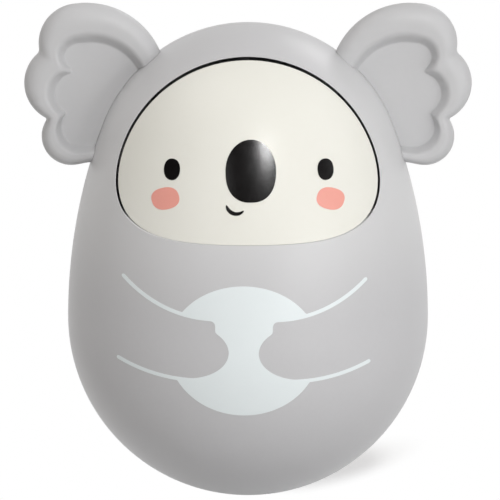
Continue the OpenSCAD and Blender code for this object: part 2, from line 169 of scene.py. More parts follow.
# below zero inside the face; the gap round it narrows to both sides and towards the sill
def faceSide(p, back=0.0, down=0.0, deep=0.0):
    across = p[..., 0] / egg["crownR"]
    side = np.clip(1 - np.maximum(face["gapRight"] * across, -face["gapLeft"] * across), 0, 1)
    gap = back * side * smoothStep(face["gapLow"], face["gapHigh"], p[..., 2])
    undercut = deep * smoothStep(face["deepLow"], face["deepHigh"], p[..., 2])
    ahead = np.maximum(p[..., 1] - gap - undercut - sweepY, 0)
    below = np.maximum(sweepZ - p[..., 2] - down, 0)
    return np.hypot(ahead, below) - face["sweepR"]


# rays fan out round a level line, front or back: turn goes round it and lean away from it
class Fan:
    widestLean = 1.55
    surveyRows = 120

    def __init__(self, count, z, facing):
        self.turn = np.linspace(0, 2 * math.pi, count, endpoint=False)
        self.centre = np.array([0.0, 0.0, z])
        self.facing = facing

    def at(self, lean, grow=0.0):
        lean = np.broadcast_to(lean, self.turn.shape)
        way = np.stack([
            np.sin(lean) * np.cos(self.turn),
            self.facing * np.cos(lean),
            np.sin(lean) * np.sin(self.turn),
        ], -1)
        return eggHit(self.centre, way, grow)

    def faceEdge(self, grow, inset=0.0, **gaps):
        zero = np.zeros(self.turn.shape)
        stop = zero + self.widestLean
        return bisect(lambda lean: faceSide(self.at(lean, grow), **gaps) < -inset, zero, stop)

    def rows(self, start, stop, count, grow=0.0, trim=(0.0, 0.0)):  # evenly spaced along the surface
        shares = np.linspace(0, 1, self.surveyRows)
        start = np.broadcast_to(start, self.turn.shape)
        stop = np.broadcast_to(stop, self.turn.shape)
        leans = start + shares[:, None] * (stop - start)
        points = np.array([self.at(lean, grow) for lean in leans])
        steps = np.linalg.norm(np.diff(points, axis=0), axis=2)
        run = np.concatenate([np.zeros((1, len(self.turn))), np.cumsum(steps, axis=0)])
        wanted = np.zeros((count, len(self.turn)))
        for i in range(len(self.turn)):
            marks = np.linspace(trim[0], run[-1, i] - trim[1], count)
            wanted[:, i] = np.interp(marks, run[:, i], leans[:, i])
        return [self.at(lean, grow) for lean in wanted]


def bend(first, corner, last, count):  # a rounded corner, without its two ends
    return [
        (1 - t) ** 2 * first + 2 * t * (1 - t) * corner + t ** 2 * last
        for t in np.linspace(0, 1, count + 2)[1:-1]
    ]


def towards(start, stop, length):
    way = stop - start
    return start + way * (length / np.linalg.norm(way, axis=-1, keepdims=True))


def newObject(name, mesh, material=None):
    made = bpy.data.objects.new(name, mesh)
    scene.collection.objects.link(made)
    if material:
        mesh.materials.clear()
        mesh.materials.append(material)
    return made


def meshFrom(name, points, faces):
    mesh = bpy.data.meshes.new(name)
    mesh.from_pydata((np.asarray(points) * mm).tolist(), [], faces)
    return mesh


weldGap = 0.0005
hardCorner = {"shell": 38, "ear": 50, "ink": 60, "screw": 32}  # degrees


# closes doubles, turns faces outwards and keeps hard corners
def finishMesh(mesh, sharpAngle=hardCorner["shell"]):
    work = bmesh.new()
    work.from_mesh(mesh)
    bmesh.ops.remove_doubles(work, verts=work.verts, dist=weldGap * mm)
    bmesh.ops.recalc_face_normals(work, faces=work.faces)
    work.to_mesh(mesh)
    work.free()
    mesh.shade_smooth()
    mesh.set_sharp_from_angle(angle=math.radians(sharpAngle))
    mesh.update()
    return mesh


# rings of points in a row; without poles the last ring meets the first
def loftMesh(name, rows, poles=None):
    rows = np.array(rows)
    count, around = rows.shape[:2]
    points = list(rows.reshape(-1, 3))
    faces = []
    for i in range(count - 1 if poles else count):
        low = i * around
        high = (i + 1) % count * around
        for j in range(around):
            k = (j + 1) % around
            faces.append((low + j, low + k, high + k, high + j))
    if poles:
        points += [np.array(pole, float) for pole in poles]
        last = (count - 1) * around
        for j in range(around):
            k = (j + 1) % around
            faces.append((count * around, k, j))
            faces.append((count * around + 1, last + j, last + k))
    return meshFrom(name, points, faces)


def applied(piece):  # a new mesh with the piece's modifiers in it
    bpy.context.view_layer.update()
    return bpy.data.meshes.new_from_object(piece.evaluated_get(bpy.context.evaluated_depsgraph_get()))


def cut(piece, tool, operation="DIFFERENCE"):
    step = piece.modifiers.new("cut", "BOOLEAN")
    step.operation = operation
    step.object = tool
    step.solver = "EXACT"
    done = applied(piece)
    piece.modifiers.remove(step)
    old = piece.data
    piece.data = done
    bpy.data.meshes.remove(old)
    bpy.data.objects.remove(tool)


def emptyTree(tree):
    for node in list(tree.nodes):
        tree.nodes.remove(node)
    return Wire(tree)


def newMaterial(name):
    material = bpy.data.materials.new(name)
    material.use_nodes = True
    return material, emptyTree(material.node_tree)


# satin and gloss plastics, ink and metals: clouds, a grain and a finer grain vary each surface; the shell
# also gets a band of painted light
finishMix = {
    "cloudDetail": 3.0, "grainDetail": 2.0, "fineDetail": 1.0, "cloudShare": 0.7, "cloudSwing": 0.5,
    "middle": 0.5, "ior": 1.48, "shine": 0.5,
}


def noise(wires, place, scale, detail):
    return wires.node("ShaderNodeTexNoise", None, {"Vector": place, "Scale": scale, "Detail": detail})


def mouldedFinish(name, look):
    material, wires = newMaterial(name)
    place = wires.node("ShaderNodeTexCoord", out="Object")
    if "stretch" in look:
        place = wires.node("ShaderNodeMapping", None, {"Vector": place, "Scale": look["stretch"]})
    clouds = noise(wires, place, look["cloudScale"], finishMix["cloudDetail"])
    grain = noise(wires, place, look["grainScale"], finishMix["grainDetail"])
    fine = noise(wires, place, look["fineScale"], finishMix["fineDetail"])
    blend = finishMix["cloudShare"] * clouds + (1 - finishMix["cloudShare"]) * grain
    colour = wires.node("ShaderNodeMix", {"data_type": "RGBA", "clamp_factor": True}, {
        "Factor": blend, 6: (*look["dark"], 1), 7: (*look["light"], 1),
    }, 2)
    if "paintedLightHeights" in look:  # painted light: a paler band between two heights, lightening the hood round the face
        height = wires.node("ShaderNodeSeparateXYZ", None, {0: place}, "Z")
        rise, fall = [wires.node("ShaderNodeMapRange", {"interpolation_type": "SMOOTHSTEP"}, {
            "Value": height, "From Min": low * mm, "From Max": high * mm,
        }) for low, high in look["paintedLightHeights"]]
        colour = wires.node("ShaderNodeMix", {"data_type": "RGBA"}, {
            "Factor": rise * (1 - fall), 6: colour, 7: (*look["paintedLightColour"], 1),
        }, 2)
    grainPart = look["roughSwing"] * (grain - finishMix["middle"])
    cloudPart = finishMix["cloudSwing"] * look["roughSwing"] * (clouds - finishMix["middle"])
    rough = look["rough"] + grainPart + cloudPart
    relief = look["grainRelief"] * grain + look["fineRelief"] * fine
    bump = wires.node("ShaderNodeBump", None, {"Strength": 1.0, "Distance": mm, "Height": relief})
    shader = wires.node("ShaderNodeBsdfPrincipled", None, {
        "Base Color": colour, "Roughness": rough, "Metallic": look.get("metal", 0.0), "Normal": bump,
        "IOR": finishMix["ior"], "Specular IOR Level": look.get("shine", finishMix["shine"]),
    })
    wires.node("ShaderNodeOutputMaterial", None, {"Surface": shader})
    return material


finishes = {
    "grey_shell": {
        "dark": (0.545, 0.543, 0.555), "light": (0.60, 0.598, 0.608), "cloudScale": 28.0,
        "grainScale": 900.0, "fineScale": 3200.0,
        "rough": 0.36, "roughSwing": 0.10, "grainRelief": 0.012, "fineRelief": 0.006,
        # painted light: the shell is paler between about 82 and 99 mm high, a lighter hood beside the face
        "shine": 0.36, "paintedLightHeights": ((50.0, 82.0), (99.0, 126.0)), "paintedLightColour": (0.675, 0.675, 0.68),
    },
    "grey_ear": {
        "dark": (0.54, 0.54, 0.55), "light": (0.59, 0.59, 0.595), "cloudScale": 34.0,
        "grainScale": 900.0, "fineScale": 3200.0,
        "rough": 0.42, "roughSwing": 0.10, "grainRelief": 0.012, "fineRelief": 0.006,
        "shine": 0.33,
    },
    "cream_face": {
        "dark": (0.83, 0.82, 0.745), "light": (0.862, 0.857, 0.80), "cloudScale": 24.0,
        "grainScale": 700.0, "fineScale": 2600.0,
        "rough": 0.34, "roughSwing": 0.06, "grainRelief": 0.004, "fineRelief": 0.002,
        "shine": 0.25,
    },
    "black_ink": {
        "dark": (0.004, 0.0035, 0.0035), "light": (0.008, 0.0065, 0.0065), "cloudScale": 400.0,
        "grainScale": 2600.0, "fineScale": 4200.0,
        "rough": 0.205, "roughSwing": 0.12, "grainRelief": 0.012, "fineRelief": 0.004,
        "shine": 0.55,
    },
    "pink_ink": {
        "dark": (0.865, 0.36, 0.30), "light": (0.915, 0.41, 0.34), "cloudScale": 120.0,
        "grainScale": 1300.0, "fineScale": 4000.0,
        "rough": 0.36, "roughSwing": 0.10, "grainRelief": 0.006, "fineRelief": 0.004,
    },
    "white_ink": {
        "dark": (0.80, 0.86, 0.87), "light": (0.845, 0.90, 0.91), "cloudScale": 60.0,
        "grainScale": 1200.0, "fineScale": 4000.0,
        "rough": 0.42, "roughSwing": 0.10, "grainRelief": 0.008, "fineRelief": 0.004,
    },
    "screw_steel": {
        "dark": (0.36, 0.37, 0.40), "light": (0.50, 0.51, 0.53), "cloudScale": 260.0,
        "grainScale": 1600.0, "fineScale": 5200.0,
        "rough": 0.32, "roughSwing": 0.16, "grainRelief": 0.004, "fineRelief": 0.002,
        "metal": 1.0,
    },
    "cast_ballast": {
        "dark": (0.07, 0.07, 0.075), "light": (0.13, 0.128, 0.13), "cloudScale": 90.0,
        "grainScale": 1100.0, "fineScale": 2600.0,
        "rough": 0.62, "roughSwing": 0.2, "grainRelief": 0.06, "fineRelief": 0.02,
        "metal": 0.8,
    },
    "rod_steel": {
        "dark": (0.44, 0.45, 0.47), "light": (0.56, 0.57, 0.58), "cloudScale": 160.0,
        "grainScale": 900.0, "fineScale": 4200.0,
        "rough": 0.27, "roughSwing": 0.14, "grainRelief": 0.003, "fineRelief": 0.002,
        "metal": 1.0, "stretch": (1.0, 1.0, 0.08),
    },
    "white_nylon": {
        "dark": (0.68, 0.68, 0.65), "light": (0.76, 0.76, 0.73), "cloudScale": 70.0,
        "grainScale": 1000.0, "fineScale": 3600.0,
        "rough": 0.46, "roughSwing": 0.12, "grainRelief": 0.012, "fineRelief": 0.006,
    },
}
materials = {slot: mouldedFinish(slot, look) for slot, look in finishes.items()}
print("materials: {}".format(len(materials)))


def seat(piece, body, slot, *nodes):
    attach(piece, body)
    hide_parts(*nodes)


# front shell: a closed wall from the face's opening to the seam, with a thin lip round the face
hood = {
    "around": 400, "outerRows": 96, "innerRows": 30, "seamR": 0.3, "seamRows": 4,
    "lip": 0.1, "lipBack": 6.0, "underDepth": 2.25,
}
hoodFan = Fan(hood["around"], face["middleZ"], -1)
poleLean = {"outer": 0.02, "inner": 0.05}  # where the rows round a pole begin


def seamRows(fan, last):  # rounds the wall's outer edge at the seam
    corner = fan.at(quarter)
    flat = towards(corner, fan.at(quarter, -egg["wall"]), hood["seamR"])
    return bend(last, corner, flat, hood["seamRows"]) + [flat]


def makeFrontShell():
    wall = egg["wall"]
    gaps = {"back": face["gap"], "down": face["sillGap"]}
    deepGaps = {**gaps, "deep": hood["lipBack"]}
    edge = hoodFan.faceEdge(0.0, **gaps)
    lipCorner = hoodFan.at(hoodFan.faceEdge(-hood["lip"], **gaps), -hood["lip"])
    stepCorner = hoodFan.at(hoodFan.faceEdge(-hood["underDepth"], **deepGaps), -hood["underDepth"])
    innerEdge = hoodFan.faceEdge(-wall, **deepGaps)
    rows = hoodFan.rows(edge, quarter, hood["outerRows"], 0.0, (0.0, hood["seamR"]))
    rows += seamRows(hoodFan, rows[-1])
    rows += hoodFan.rows(quarter, innerEdge, hood["innerRows"], -wall)
    rows += [stepCorner, lipCorner]
    mesh = finishMesh(loftMesh("frontShell", rows))
    seat(newObject("frontShell", mesh, materials["grey_shell"]), "toy", "grey_shell", "front_shell")


# rear shell: a closed cup with four sunk screw holes and the posts that hold them
cup = {"around": 400, "outerRows": 110, "innerRows": 36, "middleZ": 58.0}
wellSizes = {
    "postFoot": 1.7, "postR": 4.4, "postShort": 6.0, "holeFoot": -1.0, "holeR": 1.6,
    "wellR": 3.1, "wellOver": 20.0, "sides": 64,
}
shellScrews = {
    "places": [(24.535, 106.0), (-24.535, 106.0), (38.313, 38.532), (-38.313, 38.532)],
    "seatY": 7.0, "headWide": 5.4, "headHigh": 2.0, "shankWide": 2.8, "length": 17.0, "pitch": 1.1,
    "turn": -90.0,
}


def barRows(x, z, steps):  # rings of a stepped bar along y
    turn = np.linspace(0, 2 * math.pi, wellSizes["sides"], endpoint=False)
    rows = []
    for y, r in steps:
        rows.append(np.stack([x + r * np.cos(turn), np.full(len(turn), y), z + r * np.sin(turn)], -1))
    return rows


def barsMesh(name, bars):
    work = bmesh.new()
    for rows in bars:
        ends = [rows[0].mean(axis=0), rows[-1].mean(axis=0)]
        one = finishMesh(loftMesh(name, rows, ends))
        work.from_mesh(one)
        bpy.data.meshes.remove(one)
    mesh = bpy.data.meshes.new(name)
    work.to_mesh(mesh)
    work.free()
    return newObject(name, mesh)


def makeRearShell():
    wall = egg["wall"]
    fan = Fan(cup["around"], cup["middleZ"], 1)
    rows = fan.rows(poleLean["outer"], quarter, cup["outerRows"], 0.0, (0.0, hood["seamR"]))
    rows += seamRows(fan, rows[-1])
    rows += fan.rows(quarter, poleLean["inner"], cup["innerRows"], -wall)
    rows = [np.stack([row[:, 0], np.maximum(row[:, 1], egg["seamGap"]), row[:, 2]], -1) for row in rows]
    poles = [fan.at(0.0)[0], fan.at(0.0, -wall)[0]]
    shell = newObject("rearShell", finishMesh(loftMesh("rearShell", rows, poles)), materials["grey_shell"])
    posts, wells = [], []
    postR, holeR, wellR = [wellSizes[key] for key in ("postR", "holeR", "wellR")]
    seatY = shellScrews["seatY"]
    for x, z in shellScrews["places"]:
        back = math.sqrt(eggRadius(np.array(z)) ** 2 - x * x)
        posts.append(barRows(x, z, [(wellSizes["postFoot"], postR), (back - wellSizes["postShort"], postR)]))
        wells.append(barRows(x, z, [
            (wellSizes["holeFoot"], holeR), (seatY, holeR),
            (seatY, wellR), (back + wellSizes["wellOver"], wellR),
        ]))
    cut(shell, barsMesh("posts", posts), "UNION")
    cut(shell, barsMesh("wells", wells))
    finishMesh(shell.data)
    seat(shell, "toy", "grey_shell", "rear_shell")


# face: a glossy dome set a little below the hood, with a skirt that goes in behind its edge
dome = {"around": 400, "outerRows": 70, "innerRows": 24, "edgeRows": 5}


def makeFace():
    fan = Fan(dome["around"], face["middleZ"], -1)
    inset = -face["inset"]
    inner = inset - face["wall"]
    deep = -face["skirtDeep"]
    edge = fan.faceEdge(inset)
    edgeCorner = fan.at(edge, inset)
    skirtFoot = fan.at(fan.faceEdge(deep), deep)
    skirtBack = fan.at(fan.faceEdge(deep, inset=face["skirt"]), deep)
    innerEdge = fan.faceEdge(inner, inset=face["skirt"])
    skirtFace = towards(edgeCorner, skirtFoot, face["edgeR"])
    rows = fan.rows(poleLean["outer"], edge, dome["outerRows"], inset, (0.0, face["edgeR"]))
    rows += bend(rows[-1], edgeCorner, skirtFace, dome["edgeRows"])
    rows += [skirtFace, skirtFoot, skirtBack]
    rows += fan.rows(innerEdge, poleLean["inner"], dome["innerRows"], inner)
    poles = [fan.at(0.0, inset)[0], fan.at(0.0, inner)[0]]
    mesh = finishMesh(loftMesh("faceDome", rows, poles))
    seat(newObject("faceDome", mesh, materials["cream_face"]), "toy", "cream_face", "face_dome")


makeFrontShell()
makeRearShell()
makeFace()
print("shells and face made")


# ears: lobes round a dished panel, with a rolled rim whose crest runs between the two outlines
ear = {
    "middle": (36.0, 107.0), "farthest": 40.0, "around": 480, "panelRows": 12, "rimRows": 44, "backRows": 26,
    "thick": 8.0, "recess": 3.5, "crestShare": 0.48, "panelStart": 0.08, "backShare": 0.5, "backShrink": 0.94,
    "soften": 0.9, "softenTurn": 5.0,
    "top": (42.06, 108.23, 20.95), "tip": (43.92, 118.62, 10.43), "mid": (47.81, 108.14, 10.30),
    "low": (45.98, 94.18, 7.62), "topEnd": 43.9,
    "panelTop": (40.8, 104.6, 14.0), "panelTip": (44.2, 114.9, 3.3), "panelNeck": (42.8, 112.4, 3.0),
    "panelMid": (44.5, 105.3, 5.5), "panelLow": (43.1, 96.8, 5.3), "panelEnd": 44.2, "panelFloor": 91.7,
    "headGap": 0.05, "wallStart": 0.25, "wallSkew": 1.35, "crown": 0.12, "drop": 0.28,
}


def softMin(a, b, k):
    h = np.clip(0.5 + 0.5 * (b - a) / k, 0, 1)
    return b + (a - b) * h - k * h * (1 - h)


def disc(x, z, circle):
    return np.hypot(x - circle[0], z - circle[1]) - circle[2]


def earOutline(x, z):
    away = np.maximum(disc(x, z, ear["top"]), x - ear["topEnd"])
    away = np.minimum(away, disc(x, z, ear["tip"]))
    for lobe in ("mid", "low"):
        away = softMin(away, disc(x, z, ear[lobe]), ear["soften"])
    return away


def earPanel(x, z):
    away = np.maximum(disc(x, z, ear["panelTop"]), x - ear["panelEnd"])
    away = -softMin(-away, z - ear["panelFloor"], ear["soften"])
    for lobe in ("panelTip", "panelNeck", "panelMid", "panelLow"):
        away = softMin(away, disc(x, z, ear[lobe]), ear["soften"])
    return away


def smoothRound(values, turns):  # blurs a ring of values over that many degrees
    if turns <= 0:
        return values
    count = len(values)
    offset = np.minimum(np.arange(count), count - np.arange(count)) * 360 / count
    weight = np.exp(-0.5 * (offset / turns) ** 2)
    return np.real(np.fft.ifft(np.fft.fft(values) * np.fft.fft(weight / weight.sum())))


def makeEarMesh():
    turn = np.linspace(0, 2 * math.pi, ear["around"], endpoint=False)
    way = np.stack([np.cos(turn), np.sin(turn)], -1)
    middle = np.array(ear["middle"])

    def reach(shape):
        def inside(t):
            place = middle + t[:, None] * way
            return shape(place[:, 0], place[:, 1]) < 0
        zero = np.zeros(len(turn))
        return bisect(inside, zero, zero + ear["farthest"])

    rimOut = reach(earOutline)
    rimIn = reach(earPanel)
    high = ear["thick"] / 2
    crest = ear["crestShare"]

    def ring(radius, y):
        flat = middle + radius[:, None] * way
        return np.stack([flat[:, 0], np.broadcast_to(y, radius.shape), flat[:, 1] - ear["drop"]], -1)

    def rimRadius(share):  # 0 at the silhouette, 1 at the panel
        out = smoothRound(rimOut, ear["softenTurn"] * share)
        inn = smoothRound(rimIn, ear["softenTurn"] * (1 - share))
        return out * (1 - share) + inn * share

    rows = []
    for share in np.linspace(ear["panelStart"], 1, ear["panelRows"])[:-1]:
        rows.append(ring(rimIn * share, -(high - ear["recess"])))
    for step in np.linspace(0, 1, ear["rimRows"]):
        share = (1 + math.cos(math.pi * step)) / 2
        if share < crest:
            rise = high * math.sqrt(max(1 - (1 - share / crest) ** 2, 0))
        else:
            along = (share - crest) / (1 - crest)
            fall = (max(along - ear["wallStart"], 0) / (1 - ear["wallStart"])) ** ear["wallSkew"]
            fall = ear["crown"] * along ** 2 + (1 - ear["crown"]) * smoothStep(0, 1, fall)
            rise = high - ear["recess"] * fall
        rows.append(ring(rimRadius(share), -rise))
    for step in np.linspace(0, 1, ear["backRows"])[1:]:
        share = 1 - math.cos(step * math.pi / 2)
        rise = high * math.sqrt(max(1 - (1 - min(share / ear["backShare"], 1)) ** 2, 0))
        rows.append(ring(rimRadius(0) * (1 - ear["backShrink"] * share), rise))
    poleZ = middle[1] - ear["drop"]
    poles = [(middle[0], -(high - ear["recess"]), poleZ), (middle[0], high, poleZ)]
    return loftMesh("ear", rows, poles)


block = {"rows": 120, "around": 180}


def eggBlock(grow):  # the egg as one solid, to trim what sits on it
    heights = np.linspace(-quarter, quarter, block["rows"] + 2)[1:-1]
    turn = np.linspace(0, 2 * math.pi, block["around"], endpoint=False)
    centre = np.array([0.0, 0.0, cup["middleZ"]])
    rows = []
    for tilt in heights:
        level = np.full(len(turn), math.sin(tilt))
        way = np.stack([np.cos(turn) * math.cos(tilt), np.sin(turn) * math.cos(tilt), level], -1)
        rows.append(eggHit(centre, way, grow))
    ends = np.array([[0.0, 0.0, -1.0], [0.0, 0.0, 1.0]])
    poles = list(eggHit(centre, ends, grow))
    return newObject("eggBlock", finishMesh(loftMesh("eggBlock", rows, poles)))


def makeEars():
    right = newObject("rightEar", finishMesh(makeEarMesh()), materials["grey_ear"])
    cut(right, eggBlock(ear["headGap"]))
    finishMesh(right.data, hardCorner["ear"])
    mirrored = right.data.copy()
    mirrored.transform(Matrix.Scale(-1, 4, (1, 0, 0)))
    mirrored.flip_normals()
    left = newObject("leftEar", finishMesh(mirrored, hardCorner["ear"]), materials["grey_ear"])
    seat(right, "toy", "grey_ear", "right_ear")
    seat(left, "toy", "grey_ear", "left_ear")


makeEars()
print("ears made")


# prints: a thin layer of ink over each filled outline, wrapped on the surface below it
ink = {"thick": 0.08, "cell": 0.3, "fineCell": 0.12, "finestCell": 0.06, "margin": 1.0, "onEdge": 1e-6}


def fillOutline(shape, box, cell):  # squares of a fine net, trimmed where the outline crosses them
    xs = np.arange(box[0], box[1] + cell, cell)
    zs = np.arange(box[2], box[3] + cell, cell)
    value = shape(xs[None, :], zs[:, None])
    value = np.where(np.abs(value) < ink["onEdge"], ink["onEdge"], value)
    points, index, faces = [], {}, []

    def corner(i, j):
        if (i, j) not in index:
            index[(i, j)] = len(points)
            points.append((xs[j], zs[i]))
        return index[(i, j)]

    def crossing(a, b):
        key = (min(a, b), max(a, b))
        if key not in index:
            t = value[a] / (value[a] - value[b])
            index[key] = len(points)
            x = xs[a[1]] + t * (xs[b[1]] - xs[a[1]])
            z = zs[a[0]] + t * (zs[b[0]] - zs[a[0]])
            points.append((x, z))
        return index[key]

    for i in range(len(zs) - 1):
        for j in range(len(xs) - 1):
            corners = [(i, j), (i, j + 1), (i + 1, j + 1), (i + 1, j)]
            if all(value[c] > 0 for c in corners):
                continue
            loop = []
            for a, b in zip(corners, corners[1:] + corners[:1]):
                if value[a] < 0:
                    loop.append(corner(*a))
                if (value[a] < 0) != (value[b] < 0):
                    loop.append(crossing(a, b))
            if len(loop) > 2:
                faces.append(loop)
    return np.array(points), faces


def inkLayer(name, shapes, grow, thick):
    allPoints, allFaces = [], []
    for shape, box, cell in shapes:
        flat, faces = fillOutline(shape, box, cell)
        edges = {}
        for loop in faces:
            for a, b in zip(loop, loop[1:] + loop[:1]):
                edges[(a, b)] = edges.get((a, b), 0) + 1
        start = len(allPoints)
        size = len(flat)
        for level in (0.0, thick):
            radius = eggRadius(flat[:, 1]) + grow + level
            depth = -np.sqrt(radius ** 2 - flat[:, 0] ** 2)
            allPoints += list(np.stack([flat[:, 0], depth, flat[:, 1]], -1))
        for loop in faces:
            allFaces.append([start + k for k in loop[::-1]])
            allFaces.append([start + size + k for k in loop])
        for a, b in edges:
            if (b, a) not in edges:
                allFaces.append([start + a, start + b, start + size + b, start + size + a])
    return finishMesh(meshFrom(name, allPoints, allFaces), hardCorner["ink"])


def roundShape(x, z, wide, high, power=2.0):  # about a distance, for an oval or a fuller one
    ring = (np.abs(x / wide) ** power + np.abs(z / high) ** power) ** (1 / power)
    return (ring - 1) * min(wide, high)


nose = {"x": 0.72, "z": 91.28, "wide": 13.05, "high": 15.6, "lowPower": 2.4}
eye = {"x": 19.85, "shift": 0.2, "z": 90.93, "wide": 4.15, "high": 5.32, "lean": 0.07, "power": 2.2}
cheek = {"x": 21.35, "z": 83.55, "wide": 7.3, "high": 5.33, "tilt": 18.0, "power": 2.4}
smile = {"x": -3.0, "z": 83.22, "r": 2.6, "ends": (-171.0, -43.0), "thick": 1.0, "full": 0.4}
belly = {
    "x": -1.1, "z": 45.1, "wide": 39.0, "high": 34.4, "turn": -0.6, "soften": 0.5, "line": 1.0,
    "palmX": 15.5, "palmDrop": 0.3, "palmWide": 23.2, "palmHigh": 14.5, "thumbX": 7.45, "cornerSoft": 1.6,
    "overX": 8.5, "overUp": 41.86, "overR": 33.4, "overEnds": (-91.5, -47.0),
    "underX": 13.6, "underUp": 40.1, "underR": 48.0, "underEnds": (-92.0, -67.0),
}


def noseShape(x, z):
    x = x - nose["x"]
    z = z - nose["z"]
    upper = roundShape(x, z, nose["wide"] / 2, nose["high"] / 2)
    lower = roundShape(x, z, nose["wide"] / 2, nose["high"] / 2, nose["lowPower"])
    return np.where(z > 0, upper, lower)


def eyeShape(side):
    def shape(x, z):
        z = z - eye["z"]
        x = side * (x - eye["shift"]) - eye["x"] + eye["lean"] * z
        return roundShape(x, z, eye["wide"] / 2, eye["high"] / 2, eye["power"])
    return shape


def cheekShape(side):
    def shape(x, z):
        x = side * x - cheek["x"]
        z = z - cheek["z"]
        a = math.radians(cheek["tilt"])
        along = x * math.cos(a) - z * math.sin(a)
        across = x * math.sin(a) + z * math.cos(a)
        return roundShape(along, across, cheek["wide"] / 2, cheek["high"] / 2, cheek["power"])
    return shape


def smileShape(x, z):  # a stroke along an arc, fullest a little left of its middle
    x, z = x - smile["x"], z - smile["z"]
    angle = np.degrees(np.arctan2(z, x))
    along = (angle - smile["ends"][0]) / (smile["ends"][1] - smile["ends"][0])
    share = np.where(along < smile["full"], along / smile["full"], (1 - along) / (1 - smile["full"]))
    half = smile["thick"] / 2 * np.sqrt(np.clip(share * (2 - share), 0, 1)) - np.where(share < 0, 1, 0)
    return np.abs(np.hypot(x, z) - smile["r"]) - half


def armLine(x, z, centre, r, angles):
    away = np.hypot(x - centre[0], z - centre[1])
    angle = np.degrees(np.arctan2(z - centre[1], x - centre[0]))
    near = np.clip(angle, angles[0], angles[1])
    endX = centre[0] + r * np.cos(np.radians(near))
    endZ = centre[1] + r * np.sin(np.radians(near))
    return np.where(angle == near, np.abs(away - r), np.hypot(x - endX, z - endZ)) - belly["line"] / 2


# the arm's two lines, and what the arm and paw leave out of the spot; x runs outwards
def armShapes(x, z):
    over = (belly["overX"], belly["overUp"])
    under = (belly["underX"], belly["underUp"])
    lines = np.minimum(armLine(x, z, over, belly["overR"], belly["overEnds"]),
                       armLine(x, z, under, belly["underR"], belly["underEnds"]))
    palmX = x - belly["palmX"]
    palmZ = z + belly["palmDrop"]
    palm = roundShape(palmX, palmZ, belly["palmWide"] / 2, belly["palmHigh"] / 2)
    underTop = np.hypot(x - under[0], z - under[1]) - belly["underR"] + belly["line"] / 2
    overFoot = belly["overR"] + belly["line"] / 2 - np.hypot(x - over[0], z - over[1])
    wrist = np.maximum(belly["thumbX"] - x, np.minimum(-palmZ, -palmX))
    sleeve = -softMin(-wrist, -np.maximum(underTop, overFoot), belly["cornerSoft"])
    return lines, softMin(palm, sleeve, belly["soften"])


def bellyShape(x, z):
    a = math.radians(belly["turn"])
    x, z = x - belly["x"], z - belly["z"]
    x, z = x * math.cos(a) + z * math.sin(a), z * math.cos(a) - x * math.sin(a)
    rightLines, rightGap = armShapes(x, z)
    leftLines, leftGap = armShapes(-x, z)
    spot = roundShape(x, z, belly["wide"] / 2, belly["high"] / 2)
    gaps = np.minimum(rightGap, leftGap)
    spot = -softMin(-spot, gaps, belly["soften"])
    return np.minimum(spot, np.minimum(rightLines, leftLines))


def around(x, z, size):
    return (x - size, x + size, z - size, z + size)


def makePrints():
    faceLevel = -face["inset"]
    noseBox = around(nose["x"], nose["z"], nose["high"] / 2 + ink["margin"])
    smileBox = around(smile["x"], smile["z"], smile["r"] + ink["margin"])
    bellyBox = around(belly["x"], belly["z"], belly["wide"])
    eyes, cheeks = [], []
    for side in (-1, 1):
        eyeBox = around(side * eye["x"], eye["z"], eye["high"])
        cheekBox = around(side * cheek["x"], cheek["z"], cheek["wide"])
        eyes.append((eyeShape(side), eyeBox, ink["fineCell"]))
        cheeks.append((cheekShape(side), cheekBox, ink["fineCell"]))
    layers = [
        ("nosePrint", "black_ink", "nose_print", faceLevel, [(noseShape, noseBox, ink["cell"])]),
        ("eyePrints", "black_ink", "eye_prints", faceLevel, eyes),
        ("cheekPrints", "pink_ink", "cheek_prints", faceLevel, cheeks),
        ("smilePrint", "black_ink", "smile_print", faceLevel, [(smileShape, smileBox, ink["finestCell"])]),
        ("bellyPrint", "white_ink", "belly_print", 0.0, [(bellyShape, bellyBox, ink["cell"])]),
    ]
    for name, slot, node, level, shapes in layers:
        mesh = inkLayer(name, shapes, level, ink["thick"])
        seat(newObject(name, mesh, materials[slot]), "toy", slot, node)


makePrints()
print("prints made")


# screws and chime rods: one tree each, grown on points
def growTree(name, labels):
    tree = bpy.data.node_groups.new(name, "GeometryNodeTree")
    tree.interface.new_socket(name="Geometry", in_out="INPUT", socket_type="NodeSocketGeometry")
    for label in labels:
        tree.interface.new_socket(name=label, in_out="INPUT", socket_type="NodeSocketFloat")
    tree.interface.new_socket(name="Material", in_out="INPUT", socket_type="NodeSocketMaterial")
    tree.interface.new_socket(name="Geometry", in_out="OUTPUT", socket_type="NodeSocketGeometry")
    source = tree.nodes.new("NodeGroupInput")
    return tree, Wire(tree), {socket.name: Wire(tree, socket) for socket in source.outputs if socket.name}


def moved(wires, shape, z, scale=None):
    place = wires.node("ShaderNodeCombineXYZ", None, {"Z": z})
    return wires.node("GeometryNodeTransform", None, {
        "Geometry": shape, "Translation": place, "Scale": scale or (1, 1, 1),
    })


def endTree(wires, shape, size):
    real = wires.node("GeometryNodeRealizeInstances", None, {"Geometry": shape})
    dressed = wires.node("GeometryNodeSetMaterial", None, {"Geometry": real, "Material": size["Material"]})
    wires.node("NodeGroupOutput", None, {"Geometry": dressed})


# shares of a screw's head, shank and length, and how finely each is divided
screwForm = {
    "core": 0.42, "brim": 0.55, "slotLong": 0.58, "slotWide": 0.14, "shank": 0.88, "point": 0.25,
    "thread": 0.8, "threadFoot": 0.92, "ridge": 0.06,
    "headSides": 48, "headRings": 24, "shankSides": 32, "threadSteps": 24, "ridgeSides": 6,
}


